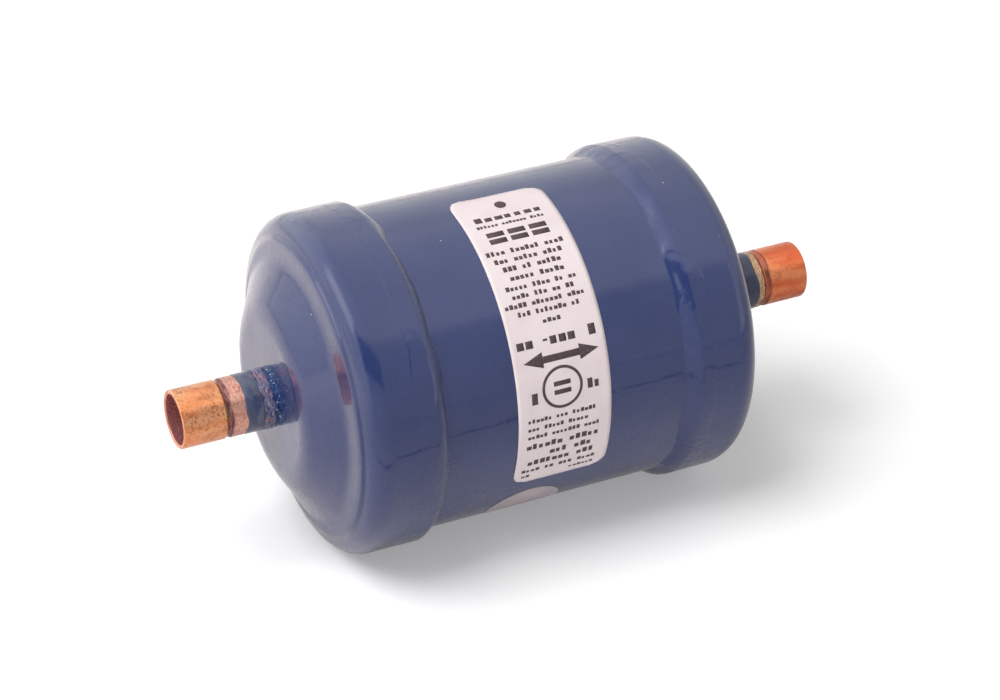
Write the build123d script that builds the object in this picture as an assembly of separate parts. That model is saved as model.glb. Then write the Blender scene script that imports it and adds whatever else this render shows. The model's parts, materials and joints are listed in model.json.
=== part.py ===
"""Two-way liquid-line filter drier: welded steel shell, brazed copper ports and the valves inside.

Millimetres. The axis lies along X, the origin is on it at mid-length, and +Z is up.
Each end is made once, at +X, and mirrored for the left end. Lengths named *_x are
distances from mid-length, and *_r are radii about the axis.
"""
from build123d import *
import math
import os

# ---------------------------------------------------------------- shell
SHELL_R = 31.0            # outer radius of the shell tube
TUBE_WALL = 1.5
TUBE_END_X = 33.5         # where the tube stops, under the cap

CAP_WALL = 1.7
SKIRT_EDGE_X = 27.4       # open edge of the cap, lapped over the tube
SHOULDER_X = 38.7         # sharp corner of skirt and outer face, before rounding
SHOULDER_ROUND = 4.6
VALLEY_X = 41.1           # where the outer face meets the hub cone
VALLEY_IN = 7.3           # and how far inside the skirt that is
VALLEY_ROUND = 14.0
HUB_X = 46.4              # flat of the hub, which carries the port
HUB_R = 16.2
HUB_ROUND = 8.0

WELD_TOE = 3.4            # length of tube that the girth weld covers
WELD_BULGE = 0.28
WELD_CROWN = 0.06         # how far the bead stands over the skirt

# ---------------------------------------------------------------- ports
PORT_R = 5.6              # outside of the copper fitting
PORT_BORE_R = 4.8         # solder socket for 9.53 mm (3/8 in) tube
PORT_MOUTH_X = 65.3
PORT_INNER_X = 43.7       # inner end, standing proud inside the cap
PORT_LIP_ROUND = 0.3
STOP_X = 56.3             # rolled groove that stops the tube
STOP_WIDTH = 1.3
STOP_DEPTH = 0.4
BRAZE_LEG = 1.3           # fillet of brazing alloy at the port's root

# ---------------------------------------------------------------- labels
LABEL_X = (-10.1, 8.8)
LABEL_ANGLE = (88.0, 205.0)   # about +X, from +Y: 90 is the top, 180 the front
LABEL_ROUND = 2.6
LABEL_THICK = 0.12
STICKER_X = -5.1
STICKER_ANGLE = 225.5
STICKER_R = 7.3
STICKER_THICK = 0.1

# ---------------------------------------------------------------- valve plate
PLATE_THICK = 1.2
PLATE_DEPTH = 3.3         # from the web's inner face to the tube's end
PLATE_RIM_GAP = 0.1       # rim inside the cap's skirt
PLATE_BEND = 0.9
INLET_HOLE_R = 3.2
INLET_HOLES = 6
INLET_SEAL = 1.8          # how far the inlet ring covers the plate outside the holes

# ---------------------------------------------------------------- valve seat, pressed into the plate
SEAT_BORE_R = 5.0
SEAT_NECK_R = 7.5
SEAT_SKIRT_R = 9.6
SEAT_SKIRT = 4.0          # length inside the plate
SEAT_LAND = 0.8           # height of the seat over the plate
SEAT_LIP = 0.8            # staked lip that holds it

# ---------------------------------------------------------------- outlet valve and its cage
POPPET_R = 7.2
POPPET_THICK = 1.2
STEM_R = 2.0
OUTLET_TRAVEL = 1.8
CAGE_GAP = 0.7            # round the seat's lip
CAGE_THICK = 1.0
CAGE_FLANGE_GAP = 1.8     # flange to the inlet holes
CAGE_WALL_R = 10.6
CAGE_WINDOWS = 4
CAGE_WINDOW_ARC = 52.0
STEM_GAP = 0.15
STEM_PROUD = 0.6          # stem beyond the roof when shut
OUTLET_WIRE_R = 0.25
OUTLET_COIL_R = 4.2
OUTLET_TURNS = 3.0

# ---------------------------------------------------------------- inlet valve
INLET_RING_GAP = 1.6      # ring inside the core spring
INLET_RING_THICK = 1.2
INLET_TRAVEL = 2.0
INLET_GUIDE_GAP = 0.3
INLET_RIB = 0.5           # stiffening rib on the ring's back
INLET_WIRE_R = 0.3
INLET_COIL_R = 14.0
INLET_TURNS = 2.5

# ---------------------------------------------------------------- core and what carries it
CORE_GAP = 0.2            # core inside the cup
CUP_WALL = 1.2
CUP_POCKET = 3.8          # depth of the cup over gasket and core
CUP_SPRING_GAP = 1.2      # cup inside the core spring
CUP_FLANGE_GAP = 1.9      # flange inside the tube
CUP_SPIGOT_FREE = 0.8     # spigot's end to the valve plate
CUP_SPIGOT_GAP = 0.2      # spigot over the seat's skirt
GASKET_THICK = 1.0
PAD_THICK = 1.4           # felt between the centre tube and the core
CENTRE_TUBE_R = 5.6
CENTRE_TUBE_WALL = 0.6
CENTRE_HOLE_R = 1.1
CENTRE_HOLE_ROWS = 7
CORE_WIRE_R = 0.6
CORE_SPRING_GAP = 2.7     # spring inside the tube
CORE_TURNS = 3.0

SPRING_CLEAR = 0.02       # between a coil and its seats
WIRE_SIDES = 8            # flats that stand for the round of a wire

# ---------------------------------------------------------------- worked out from the above
CAP_R = SHELL_R + CAP_WALL
VALLEY_R = CAP_R - VALLEY_IN
TUBE_BORE_R = SHELL_R - TUBE_WALL
CORE_COIL_R = TUBE_BORE_R - CORE_SPRING_GAP - CORE_WIRE_R
CORE_COIL_IN_R = CORE_COIL_R - CORE_WIRE_R
INLET_RING_R = CORE_COIL_IN_R - INLET_RING_GAP
INLET_HOLE_PCR = INLET_RING_R - INLET_SEAL - INLET_HOLE_R
CAGE_FLANGE_R = INLET_HOLE_PCR - INLET_HOLE_R - CAGE_FLANGE_GAP
PLATE_X = TUBE_END_X - PLATE_DEPTH            # web's inner face
PLATE_OUT_X = PLATE_X + PLATE_THICK
SEAT_TOP_X = PLATE_OUT_X + SEAT_LAND
POPPET_TOP_X = SEAT_TOP_X + POPPET_THICK
ROOF_X = POPPET_TOP_X + OUTLET_TRAVEL + 2 * OUTLET_WIRE_R * (OUTLET_TURNS + 1)
INLET_BACK_X = PLATE_X - INLET_RING_THICK
SPIGOT_IN_R = SEAT_SKIRT_R + CUP_SPIGOT_GAP
SPIGOT_R = SPIGOT_IN_R + CUP_WALL
CUP_OUT_X = INLET_BACK_X - INLET_TRAVEL - 2 * INLET_WIRE_R * (INLET_TURNS + 1)   # web's outer face
CUP_IN_X = CUP_OUT_X - CUP_WALL
CUP_RIM_X = CUP_IN_X - CUP_POCKET
CUP_R = CORE_COIL_IN_R - CUP_SPRING_GAP
CUP_IN_R = CUP_R - CUP_WALL
CUP_FLANGE_R = TUBE_BORE_R - CUP_FLANGE_GAP
CORE_R = CUP_IN_R - CORE_GAP
CORE_BORE_R = CENTRE_TUBE_R + PAD_THICK
CORE_END_X = CUP_IN_X - GASKET_THICK


def outline(*corners):
    """A closed face from (x, r, rounding) corners. A rounding of 0 leaves the corner sharp."""
    edges = []
    ends = []
    count = len(corners)
    for i, (x, r, rounding) in enumerate(corners):
        here = Vector(x, r)
        if rounding == 0:
            ends.append((here, here))
            continue
        before = (Vector(*corners[i - 1][:2]) - here).normalized()
        after = (Vector(*corners[(i + 1) % count][:2]) - here).normalized()
        half = math.radians(before.get_angle(after)) / 2
        start = here + before * (rounding / math.tan(half))
        end = here + after * (rounding / math.tan(half))
        inward = (before + after).normalized()
        middle = here + inward * (rounding / math.sin(half) - rounding)
        edges.append(ThreePointArc(start, middle, end))
        ends.append((start, end))
    for i, (start, _) in enumerate(ends):
        last = ends[i - 1][1]
        if (start - last).length > 1e-6:
            edges.append(Line(last, start))
    return make_face(edges)


def turned(*corners, angle=360):
    """A solid turned about the X axis from (x, r) or (x, r, rounding) corners."""
    full = [corner if len(corner) == 3 else (*corner, 0) for corner in corners]
    return revolve(outline(*full), Axis.X, angle)


def ring(x0, x1, inner_r, outer_r):
    return turned((x0, inner_r), (x0, outer_r), (x1, outer_r), (x1, inner_r))


def radial(angle, solid):
    """Turns a solid that points along +Z to an angle about X, measured from +Y."""
    return Rot(angle - 90, 0, 0) * solid


def inset(points, wall):
    """The corners of an open line of (x, r) points moved inwards, to its right, by a wall."""
    lines = []
    for (x0, r0), (x1, r1) in zip(points[:-1], points[1:]):
        length = math.hypot(x1 - x0, r1 - r0)
        dx, dr = (x1 - x0) / length, (r1 - r0) / length
        lines.append((x0 + dr * wall, r0 - dx * wall, dx, dr))
    moved = []
    for (xa, ra, dxa, dra), (xb, rb, dxb, drb) in zip(lines[:-1], lines[1:]):
        along = ((xb - xa) * drb - (rb - ra) * dxb) / (dxa * drb - dra * dxb)
        moved.append((xa + dxa * along, ra + dra * along))
    return moved


# ---------------------------------------------------------------- shell pieces
def shell_tube():
    return ring(-TUBE_END_X, TUBE_END_X, TUBE_BORE_R, SHELL_R)


def end_cap():
    """Pressed steel cap: skirt over the tube, rounded shoulder, shallow valley and raised hub."""
    line = [
        (SKIRT_EDGE_X, CAP_R),
        (SHOULDER_X, CAP_R),
        (VALLEY_X, VALLEY_R),
        (HUB_X, HUB_R),
        (HUB_X, PORT_R),
    ]
    shoulder, valley, hub = inset(line, CAP_WALL)
    return turned(
        (SKIRT_EDGE_X, CAP_R),
        (SHOULDER_X, CAP_R, SHOULDER_ROUND),
        (VALLEY_X, VALLEY_R, VALLEY_ROUND),
        (HUB_X, HUB_R, HUB_ROUND),
        (HUB_X, PORT_R),
        (HUB_X - CAP_WALL, PORT_R),
        (*hub, HUB_ROUND - CAP_WALL),
        (*valley, VALLEY_ROUND + CAP_WALL),
        (*shoulder, SHOULDER_ROUND - CAP_WALL),
        (SKIRT_EDGE_X, SHELL_R),
    )


def girth_weld():
    """Fillet weld between the tube and the skirt's edge, slightly convex."""
    toe = Vector(SKIRT_EDGE_X - WELD_TOE, SHELL_R)
    crest = Vector(SKIRT_EDGE_X, CAP_R + WELD_CROWN)
    root = Vector(SKIRT_EDGE_X, SHELL_R)
    chord = (crest - toe).normalized()
    crown = (toe + crest) * 0.5 + Vector(-chord.Y, chord.X) * WELD_BULGE
    face = make_face([ThreePointArc(toe, crown, crest), Line(crest, root), Line(root, toe)])
    return revolve(face, Axis.X, 360)


def port_fitting():
    """Copper stub with a rolled stop groove, which stands inside as a bead."""
    half = STOP_WIDTH / 2
    return turned(
        (PORT_INNER_X, PORT_BORE_R),
        (PORT_INNER_X, PORT_R),
        (STOP_X - half, PORT_R),
        (STOP_X, PORT_R - STOP_DEPTH, STOP_DEPTH),
        (STOP_X + half, PORT_R),
        (PORT_MOUTH_X, PORT_R, PORT_LIP_ROUND),
        (PORT_MOUTH_X, PORT_BORE_R, PORT_LIP_ROUND),
        (STOP_X + half, PORT_BORE_R),
        (STOP_X, PORT_BORE_R - STOP_DEPTH, STOP_DEPTH),
        (STOP_X - half, PORT_BORE_R),
    )


def braze_fillet():
    root = Vector(HUB_X, PORT_R)
    on_cap = Vector(HUB_X, PORT_R + BRAZE_LEG)
    on_port = Vector(HUB_X + BRAZE_LEG, PORT_R)
    hollow = root + Vector(1, 1) * (BRAZE_LEG * (1 - math.sqrt(0.5)))
    face = make_face([ThreePointArc(on_cap, hollow, on_port), Line(on_port, root), Line(root, on_cap)])
    return revolve(face, Axis.X, 360)


# ---------------------------------------------------------------- labels
def corner_waste(x, along_x, along_y):
    """What rounding takes off one corner of the label, as a punch along +Z."""
    size = 2 * LABEL_ROUND
    square = Pos(x + along_x * LABEL_ROUND, along_y * LABEL_ROUND, SHELL_R) * Box(size, size, size)
    return square - Pos(x, 0, SHELL_R) * Cylinder(LABEL_ROUND, 2 * size)


def label():
    """Paper label wrapped round the front of the tube, with rounded corners."""
    start, end = LABEL_ANGLE
    low_x, high_x = LABEL_X
    strip = turned(
        (low_x, SHELL_R),
        (low_x, SHELL_R + LABEL_THICK),
        (high_x, SHELL_R + LABEL_THICK),
        (high_x, SHELL_R),
        angle=end - start,
    )
    strip = Rot(start, 0, 0) * strip
    turn = math.degrees(LABEL_ROUND / SHELL_R)
    for angle, along_y in ((start + turn, 1), (end - turn, -1)):
        for x, along_x in ((low_x + LABEL_ROUND, -1), (high_x - LABEL_ROUND, 1)):
            strip -= radial(angle, corner_waste(x, along_x, along_y))
    return strip


def round_sticker():
    skin = ring(
        STICKER_X - STICKER_R - 1, STICKER_X + STICKER_R + 1, SHELL_R, SHELL_R + STICKER_THICK
    )
    punch = Pos(STICKER_X, 0, SHELL_R) * Cylinder(STICKER_R, SHELL_R)
    return skin & radial(STICKER_ANGLE, punch)


# ---------------------------------------------------------------- valve plate and its seat
def valve_plate():
    """Drawn steel plate, pressed into the tube with its rim on the tube's end."""
    rim_r = SHELL_R - PLATE_RIM_GAP
    wall_r = TUBE_BORE_R - PLATE_THICK
    plate = turned(
        (PLATE_X, SEAT_NECK_R),
        (PLATE_X, TUBE_BORE_R, PLATE_BEND),
        (TUBE_END_X, TUBE_BORE_R),
        (TUBE_END_X, rim_r),
        (TUBE_END_X + PLATE_THICK, rim_r),
        (TUBE_END_X + PLATE_THICK, wall_r, PLATE_BEND),
        (PLATE_OUT_X, wall_r),
        (PLATE_OUT_X, SEAT_NECK_R),
    )
    drill = Pos(PLATE_X, 0, INLET_HOLE_PCR) * Rot(0, 90, 0) * Cylinder(INLET_HOLE_R, 4 * PLATE_THICK)
    for i in range(INLET_HOLES):
        plate -= radial(90 + i * 360 / INLET_HOLES, drill)
    return plate


def valve_seat():
    """Turned seat staked through the plate. Its skirt guides the core cup's spigot."""
    lip_r = SEAT_NECK_R + SEAT_LIP
    return turned(
        (PLATE_X - SEAT_SKIRT, SEAT_BORE_R),
        (PLATE_X - SEAT_SKIRT, SEAT_SKIRT_R),
        (PLATE_X, SEAT_SKIRT_R),
        (PLATE_X, SEAT_NECK_R),
        (PLATE_OUT_X, SEAT_NECK_R),
        (PLATE_OUT_X, lip_r),
        (SEAT_TOP_X, SEAT_NECK_R),
        (SEAT_TOP_X, SEAT_BORE_R),
    )


# ---------------------------------------------------------------- outlet valve
def outlet_valve():
    """Poppet that lifts away from the core, guided by its stem."""
    stem_end = ROOF_X + CAGE_THICK + STEM_PROUD
    return turned(
        (SEAT_TOP_X, 0),
        (SEAT_TOP_X, POPPET_R),
        (POPPET_TOP_X, POPPET_R),
        (POPPET_TOP_X, STEM_R),
        (stem_end, STEM_R),
        (stem_end, 0),
    )


def outlet_cage():
    """Pressed cage over the outlet valve: flange on the plate, windows in its wall, guide in its roof."""
    inner_r = CAGE_WALL_R - CAGE_THICK
    cage = turned(
        (PLATE_OUT_X, SEAT_NECK_R + SEAT_LIP + CAGE_GAP),
        (PLATE_OUT_X, CAGE_FLANGE_R),
        (PLATE_OUT_X + CAGE_THICK, CAGE_FLANGE_R),
        (PLATE_OUT_X + CAGE_THICK, CAGE_WALL_R),
        (ROOF_X + CAGE_THICK, CAGE_WALL_R, CAGE_THICK),
        (ROOF_X + CAGE_THICK, STEM_R + STEM_GAP),
        (ROOF_X, STEM_R + STEM_GAP),
        (ROOF_X, inner_r),
        (PLATE_OUT_X + CAGE_THICK, inner_r),
    )
    window = Rot(-CAGE_WINDOW_ARC / 2, 0, 0) * turned(
        (PLATE_OUT_X + 2 * CAGE_THICK, inner_r - 1),
        (PLATE_OUT_X + 2 * CAGE_THICK, CAGE_WALL_R + 1),
        (ROOF_X - CAGE_THICK / 2, CAGE_WALL_R + 1),
        (ROOF_X - CAGE_THICK / 2, inner_r - 1),
        angle=CAGE_WINDOW_ARC,
    )
    for i in range(CAGE_WINDOWS):
        cage -= Rot(i * 360 / CAGE_WINDOWS, 0, 0) * window
    return cage


# ---------------------------------------------------------------- inlet valve
def inlet_valve():
    """Ring that covers the plate's inlet holes and slides on the core cup's spigot."""
    bore_r = SPIGOT_R + INLET_GUIDE_GAP
    return turned(
        (INLET_BACK_X, bore_r),
        (INLET_BACK_X, INLET_RING_R - 2 * INLET_RIB),
        (INLET_BACK_X - INLET_RIB, INLET_RING_R - INLET_RIB),
        (INLET_BACK_X - INLET_RIB, INLET_RING_R),
        (PLATE_X, INLET_RING_R),
        (PLATE_X, bore_r),
    )


def coil(x0, x1, coil_r, wire_r, turns):
    """A compression spring between two seats, of a wire with flats."""
    start = x0 + wire_r + SPRING_CLEAR
    length = x1 - wire_r - SPRING_CLEAR - start
    path = Pos(start, 0, 0) * Rot(0, 90, 0) * Helix(length / turns, length, coil_r)
    wire = Plane(path @ 0, z_dir=path % 0) * RegularPolygon(wire_r, WIRE_SIDES)
    return sweep(wire, path=path, is_frenet=True)


# ---------------------------------------------------------------- core and what carries it
def core_cup():
    """Drawn cup over the core's end, with a flange for the core spring and a spigot to the seat."""
    spigot_end = PLATE_X - CUP_SPIGOT_FREE
    return turned(
        (CUP_RIM_X, CUP_IN_R),
        (CUP_RIM_X, CUP_FLANGE_R),
        (CUP_RIM_X + CUP_WALL, CUP_FLANGE_R),
        (CUP_RIM_X + CUP_WALL, CUP_R),
        (CUP_OUT_X, CUP_R, CUP_WALL),
        (CUP_OUT_X, SPIGOT_R),
        (spigot_end, SPIGOT_R),
        (spigot_end, SPIGOT_IN_R),
        (CUP_IN_X, SPIGOT_IN_R),
        (CUP_IN_X, CUP_IN_R),
    )


def core_gasket():
    return ring(CORE_END_X, CUP_IN_X, CENTRE_TUBE_R, CUP_IN_R)


def desiccant_core():
    return ring(-CORE_END_X, CORE_END_X, CORE_BORE_R, CORE_R)


def filter_pad():
    return ring(-CORE_END_X, CORE_END_X, CENTRE_TUBE_R, CORE_BORE_R)


def centre_tube():
    """Perforated tube up the middle of the core, gripped by the gaskets."""
    tube = ring(-CUP_IN_X, CUP_IN_X, CENTRE_TUBE_R - CENTRE_TUBE_WALL, CENTRE_TUBE_R)
    pitch = 2 * CORE_END_X / (CENTRE_HOLE_ROWS + 1)
    drill = Cylinder(CENTRE_HOLE_R, 4 * CENTRE_TUBE_R)
    for row in range(CENTRE_HOLE_ROWS):
        x = -CORE_END_X + (row + 1) * pitch
        for turn in (0, 90):
            tube -= Pos(x, 0, 0) * Rot(turn + 45 * (row % 2), 0, 0) * drill
    return tube


# ---------------------------------------------------------------- the whole part
def end_pieces():
    """Every piece of the +X end, by the name that follows left_ or right_."""
    return {
        "end_cap": end_cap(),
        "girth_weld": girth_weld(),
        "port_fitting": port_fitting(),
        "braze_fillet": braze_fillet(),
        "valve_plate": valve_plate(),
        "valve_seat": valve_seat(),
        "outlet_valve": outlet_valve(),
        "outlet_cage": outlet_cage(),
        "outlet_spring": coil(POPPET_TOP_X, ROOF_X, OUTLET_COIL_R, OUTLET_WIRE_R, OUTLET_TURNS),
        "inlet_valve": inlet_valve(),
        "inlet_spring": coil(CUP_OUT_X, INLET_BACK_X, INLET_COIL_R, INLET_WIRE_R, INLET_TURNS),
        "core_spring": coil(CUP_RIM_X + CUP_WALL, PLATE_X, CORE_COIL_R, CORE_WIRE_R, CORE_TURNS),
        "core_cup": core_cup(),
        "core_gasket": core_gasket(),
    }


def main():
    pieces = {
        "shell_tube": shell_tube(),
        "label": label(),
        "round_sticker": round_sticker(),
        "desiccant_core": desiccant_core(),
        "filter_pad": filter_pad(),
        "centre_tube": centre_tube(),
    }
    for name, solid in end_pieces().items():
        pieces["right_" + name] = solid
        pieces["left_" + name] = mirror(solid, Plane.YZ)
    os.makedirs("parts", exist_ok=True)
    for name, solid in pieces.items():
        export_step(solid, f"parts/{name}.step")


main()
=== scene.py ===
"""Looks of the filter drier: gloss navy paint with its welds and brazed ports, worn copper, the paper
label with its print, and a light studio whose reflection cards are fitted to the photograph.

Metres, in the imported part's own frame: the axis lies along X and +Z is up. Angles about X start at
+Y, so 90 degrees is the top and 180 the front.
"""
import json
import math
import random

import bmesh
import bpy
from mathutils import Matrix, Vector, noise


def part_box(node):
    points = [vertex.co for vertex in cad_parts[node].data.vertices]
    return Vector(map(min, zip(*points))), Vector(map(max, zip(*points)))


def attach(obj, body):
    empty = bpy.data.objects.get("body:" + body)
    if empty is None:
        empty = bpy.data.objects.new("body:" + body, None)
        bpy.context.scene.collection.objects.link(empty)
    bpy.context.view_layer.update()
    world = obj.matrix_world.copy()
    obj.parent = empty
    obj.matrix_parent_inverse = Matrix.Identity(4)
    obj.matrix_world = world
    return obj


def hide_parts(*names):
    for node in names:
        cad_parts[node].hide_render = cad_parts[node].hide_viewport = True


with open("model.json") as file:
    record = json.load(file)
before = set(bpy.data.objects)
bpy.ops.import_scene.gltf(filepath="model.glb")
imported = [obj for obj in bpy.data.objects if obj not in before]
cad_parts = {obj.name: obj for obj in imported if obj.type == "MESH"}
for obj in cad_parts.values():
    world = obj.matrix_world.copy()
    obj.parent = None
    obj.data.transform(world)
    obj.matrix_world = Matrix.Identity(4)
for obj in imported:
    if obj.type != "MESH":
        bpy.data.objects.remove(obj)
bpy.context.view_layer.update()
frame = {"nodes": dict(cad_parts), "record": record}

# ---------------------------------------------------------------- sizes read from the frame
TUBE_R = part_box("shell_tube")[1].z
CAP_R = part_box("right_end_cap")[1].z
SKIRT_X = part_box("right_end_cap")[0].x       # open edge of the cap's skirt
HUB_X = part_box("right_end_cap")[1].x         # flat of the hub
WELD_TOE_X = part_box("right_girth_weld")[0].x
PORT_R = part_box("right_port_fitting")[1].z
FLOOR_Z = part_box("shell_tube")[0].z - (CAP_R - TUBE_R)   # the caps rest on it
LABEL_LOW, LABEL_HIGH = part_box("label")
LABEL_R = math.hypot(LABEL_HIGH.y, LABEL_HIGH.z)

# ---------------------------------------------------------------- camera, at the photograph's angle
AZIMUTH = math.radians(-25.4486)
ELEVATION = math.radians(31.0146)
DISTANCE = 0.587147
LENS = 110.754
SENSOR = 36.0
AIM_RIGHT = 0.0007195                        # the aim passes so far beside the part's centre
AIM_UP = -0.0016614
CLIP_START = 0.01


# ================================================================ mesh building
MERGE_DISTANCE = 1e-8


def perlin(point, size, seed=0.0):
    """Smooth noise from -1 to 1 whose bumps are about size metres across."""
    return noise.noise(Vector(point) / size + Vector((seed, 3.7 * seed, -1.3 * seed)))


def on_axis(x, r, angle):
    """The point at radius r and at an angle in degrees about the X axis."""
    turn = math.radians(angle)
    return (x, r * math.cos(turn), r * math.sin(turn))


def add_piece(name, points, faces, body, material):
    """A smooth-shaded mesh as a visible piece of a body, with its doubled points merged."""
    mesh = bpy.data.meshes.new(name)
    mesh.from_pydata(points, [], faces)
    work = bmesh.new()
    work.from_mesh(mesh)
    bmesh.ops.remove_doubles(work, verts=work.verts, dist=MERGE_DISTANCE)
    bmesh.ops.recalc_face_normals(work, faces=work.faces)
    work.to_mesh(mesh)
    work.free()
    mesh.materials.append(material)
    mesh.shade_smooth()
    piece = bpy.data.objects.new(name, mesh)
    bpy.context.scene.collection.objects.link(piece)
    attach(piece, body)
    return piece


def grid_faces(rows, columns, start=0, wrap_rows=False, wrap_columns=False):
    """Quads between neighbouring points of a grid kept row by row."""
    faces = []
    for i in range(rows if wrap_rows else rows - 1):
        for j in range(columns if wrap_columns else columns - 1):
            below = ((i + 1) % rows) * columns
            beside = (j + 1) % columns
            faces.append((start + i * columns + j, start + i * columns + beside,
                          start + below + beside, start + below + j))
    return faces


def lathe(name, profile, sides, material, relief=None, body="shell"):
    """A closed profile of (x, r) points turned about X, each point moved by relief(i, x, r, angle)."""
    points = []
    for i, (x, r) in enumerate(profile):
        for j in range(sides):
            angle = 360 * j / sides
            moved = relief(i, x, r, angle) if relief else (x, r)
            points.append(on_axis(*moved, angle))
    faces = grid_faces(len(profile), sides, wrap_rows=True, wrap_columns=True)
    return add_piece(name, points, faces, body, material)


# ================================================================ materials
class Shader:
    """A material under construction: nodes by short calls, in object coordinates."""

    def __init__(self, name):
        self.material = bpy.data.materials.new(name)
        self.material.use_nodes = True
        self.tree = self.material.node_tree
        self.tree.nodes.clear()
        self.surface = self.tree.nodes.new("ShaderNodeBsdfPrincipled")
        self.output = self.tree.nodes.new("ShaderNodeOutputMaterial").inputs["Surface"]
        self.link(self.surface.outputs[0], self.output)
        self.place = self.tree.nodes.new("ShaderNodeTexCoord").outputs["Object"]
        self.heights = None

    def link(self, source, target):
        self.tree.links.new(source, target)

    def put(self, target, value):
        """Sets a socket to a plain value, or links it to another node's output."""
        if isinstance(value, bpy.types.NodeSocket):
            self.link(value, target)
        elif isinstance(value, tuple) and len(value) == 3 and target.type == "RGBA":
            target.default_value = (*value, 1)
        else:
            target.default_value = value

    def set(self, **values):
        """Sets inputs of the surface, with underscores for the spaces in their names."""
        for name, value in values.items():
            self.put(self.surface.inputs[name.replace("_", " ")], value)

    def math(self, operation, a, b=0.0):
        node = self.tree.nodes.new("ShaderNodeMath")
        node.operation = operation
        self.put(node.inputs[0], a)
        self.put(node.inputs[1], b)
        return node.outputs[0]

    def stretched(self, x, y, z):
        """Object coordinates stretched along the axes, for streaks."""
        node = self.tree.nodes.new("ShaderNodeVectorMath")
        node.operation = "MULTIPLY"
        self.link(self.place, node.inputs[0])
        node.inputs[1].default_value = (x, y, z)
        return node.outputs[0]

    def noise(self, size, detail=2.0, rough=0.5, place=None, distortion=0.0):
        """Noise from 0 to 1 with features about size metres across."""
        node = self.tree.nodes.new("ShaderNodeTexNoise")
        self.link(place or self.place, node.inputs["Vector"])
        node.inputs["Scale"].default_value = 1 / size
        node.inputs["Detail"].default_value = detail
        node.inputs["Roughness"].default_value = rough
        node.inputs["Distortion"].default_value = distortion
        return node.outputs["Fac"]

    def cells(self, size):
        """Random cells about size metres across: a node with each cell's colour and distance."""
        node = self.tree.nodes.new("ShaderNodeTexVoronoi")
        self.link(self.place, node.inputs["Vector"])
        node.inputs["Scale"].default_value = 1 / size
        return node

    def step(self, value, low, high, start=0.0, end=1.0):
        """Goes smoothly from start to end while value goes from low to high."""
        node = self.tree.nodes.new("ShaderNodeMapRange")
        node.interpolation_type = "SMOOTHSTEP"
        self.put(node.inputs["Value"], value)
        node.inputs["From Min"].default_value = low
        node.inputs["From Max"].default_value = high
        node.inputs["To Min"].default_value = start
        node.inputs["To Max"].default_value = end
        return node.outputs["Result"]

    def mix(self, share, first, second):
        """Colour from first to second as share goes from 0 to 1."""
        node = self.tree.nodes.new("ShaderNodeMix")
        node.data_type = "RGBA"
        self.put(node.inputs["Factor"], share)
        self.put(node.inputs["A"], first)
        self.put(node.inputs["B"], second)
        return node.outputs["Result"]

    def along_x(self):
        """Distance from mid-length, the same at both ends."""
        node = self.tree.nodes.new("ShaderNodeSeparateXYZ")
        self.link(self.place, node.inputs[0])
        return self.math("ABSOLUTE", node.outputs["X"])

    def from_axis(self):
        """Distance from the X axis."""
        node = self.tree.nodes.new("ShaderNodeSeparateXYZ")
        self.link(self.place, node.inputs[0])
        squares = [self.math("POWER", node.outputs[axis], 2) for axis in "YZ"]
        return self.math("SQRT", self.math("ADD", *squares))

    def crease(self):
        """1 along the crest of the swelling round the cap's face, 0 at its ends."""
        r = self.from_axis()
        start, crest, end = CREASE_R
        return self.math("MULTIPLY", self.step(r, start, crest), self.step(r, crest, end, 1.0, 0.0))

    def specks(self, size, share, radius):
        """1 in small dots: one in each of a share of cells size across, each radius wide."""
        node = self.cells(size)
        tint = self.tree.nodes.new("ShaderNodeSeparateColor")
        self.link(node.outputs["Color"], tint.inputs[0])
        chosen = self.math("LESS_THAN", tint.outputs[0], share)
        dot = self.step(node.outputs["Distance"], radius / size, 0.5 * radius / size)
        return self.math("MULTIPLY", chosen, dot)

    def bump(self, height, depth):
        """Relief of so many metres on top of any set before, in the base and in its clear coat."""
        node = self.tree.nodes.new("ShaderNodeBump")
        node.inputs["Distance"].default_value = depth
        self.put(node.inputs["Height"], height)
        if self.heights:
            self.link(self.heights, node.inputs["Normal"])
        self.heights = node.outputs["Normal"]
        self.link(self.heights, self.surface.inputs["Normal"])
        self.link(self.heights, self.surface.inputs["Coat Normal"])


# colours, linear
NAVY = (0.0175, 0.035, 0.128)
NAVY_DEEP = (0.0115, 0.029, 0.116)
NAVY_DUSTY = (0.036, 0.045, 0.122)
PALE_SPECKS = (0.36, 0.34, 0.40)
PAINT_GLOSS_TINT = (1.0, 0.86, 0.88)
BUBBLE_BLUES = ((0.006, 0.026, 0.110), (0.013, 0.046, 0.160))
# painted reflection: the lilac streaks of the pale band beside the braze ring
BAND_REFLECTION_LILACS = ((0.065, 0.070, 0.150), (0.19, 0.15, 0.23))
BAND_RUBBED = (0.34, 0.12, 0.10)
BLISTER_GLINT = (0.80, 0.80, 0.90)
NECK_THICK = (0.010, 0.024, 0.095)
NECK_RUBBED = (0.23, 0.095, 0.085)
BORE_COPPER = (0.68, 0.31, 0.31)
GRIME = (0.3, 0.27, 0.3)
INK_DARK, INK_WORN = (0.068, 0.042, 0.048), (0.25, 0.19, 0.21)

# places, by distance from mid-length or from the axis
BAND_X = 0.0476                              # place of the pale band between braze ring and neck; its lilac streaks are a painted reflection
RUB_X = 0.0505                               # inward of it the neck's paint is rubbed through
GROOVE_X = 0.0563                            # rolled groove round each copper end
BORE_EDGE = (0.00070, 0.00078)               # depth below the copper's surface at which its bore starts
CREASE_R = (0.0245, 0.0282, 0.0296)          # swelling round the cap's face: start, crest and end
CREASE_HEIGHT = 0.00068                      # relief in the paint only, not in the mesh


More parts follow.
